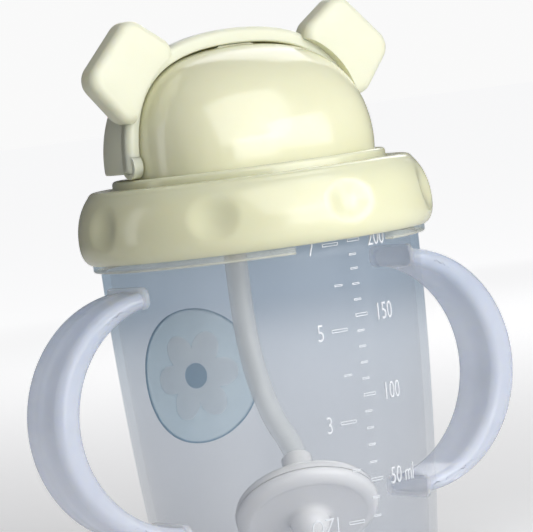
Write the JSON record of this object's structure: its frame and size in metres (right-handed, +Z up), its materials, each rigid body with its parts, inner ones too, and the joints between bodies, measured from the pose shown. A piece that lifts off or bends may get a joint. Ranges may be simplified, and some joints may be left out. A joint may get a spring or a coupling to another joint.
{
  "type": "sippy cup",
  "caption": "Translucent straw cup with two loop handles, a screw collar and a turning hood with round ears over a folding weighted straw.",
  "frame": {"origin": "middle of the bottle's underside, on the surface it stands on", "axes": "+Z up; X along the two handles; the measuring scale faces -Y and the badge and hood face +Y"},
  "size_m": [0.1154, 0.0752, 0.1227],
  "materials": {
    "clear_pp": "translucent, softly glossy",
    "clear_pp_handle": "translucent milky, glossy",
    "badge_blue": "translucent print",
    "cream_collar": "glossy",
    "cream_gloss": "high gloss",
    "cream_satin": "satin",
    "silicone": "soft satin",
    "silicone_tube": "translucent satin",
    "white_pp": "glossy",
    "steel": "brushed"
  },
  "bodies": {
    "cup": {"bottle": "clear_pp", "handle_left": "clear_pp_handle", "handle_right": "clear_pp_handle", "front_badge": "badge_blue"},
    "lid": {"lid_base": "cream_collar", "lid_gasket": "silicone", "air_valve": "silicone", "rear_dome": "cream_gloss", "mouthpiece_base": "silicone", "straw_connector": "white_pp"},
    "collar": {"screw_collar": "cream_collar"},
    "hood": {"hood": "cream_satin", "ear_left": "cream_satin", "ear_right": "cream_satin"},
    "mouthpiece": {"mouthpiece_stem": "silicone"},
    "straw": {"straw_tube": "silicone_tube", "weight_upper_shell": "white_pp", "weight_lower_shell": "white_pp", "weight_ring": "steel"}
  },
  "joints": [
    {"name": "lid_lift", "type": "slide", "parent": "cup", "child": "lid", "axis": [0, 0, 1], "range_m": [0, 0.00601]},
    {"name": "collar_turn", "type": "hinge", "parent": "lid", "child": "collar", "pos_m": [0, 0, 0.08], "axis": [0, 0, 1], "range_deg": [0, 540]},
    {"name": "hood_turn", "type": "hinge", "parent": "lid", "child": "hood", "pos_m": [0, 0, 0.0928], "axis": [1, 0, 0], "range_deg": [0, 78]},
    {"name": "mouthpiece_fold", "type": "hinge", "parent": "lid", "child": "mouthpiece", "pos_m": [0, 0.01, 0.0898], "axis": [-1, 0, 0], "range_deg": [0, 64]},
    {"name": "straw_swing", "type": "hinge", "parent": "lid", "child": "straw", "pos_m": [0, 0.01, 0.075], "axis": [1, 0, 0], "range_deg": [-4, 12]}
  ],
  "couplings": [
    {"joint": "lid_lift", "follows": "collar_turn", "m_per_rad": 0.00063662},
    {"joint": "mouthpiece_fold", "follows": "hood_turn", "ratio": 0.8}
  ]
}
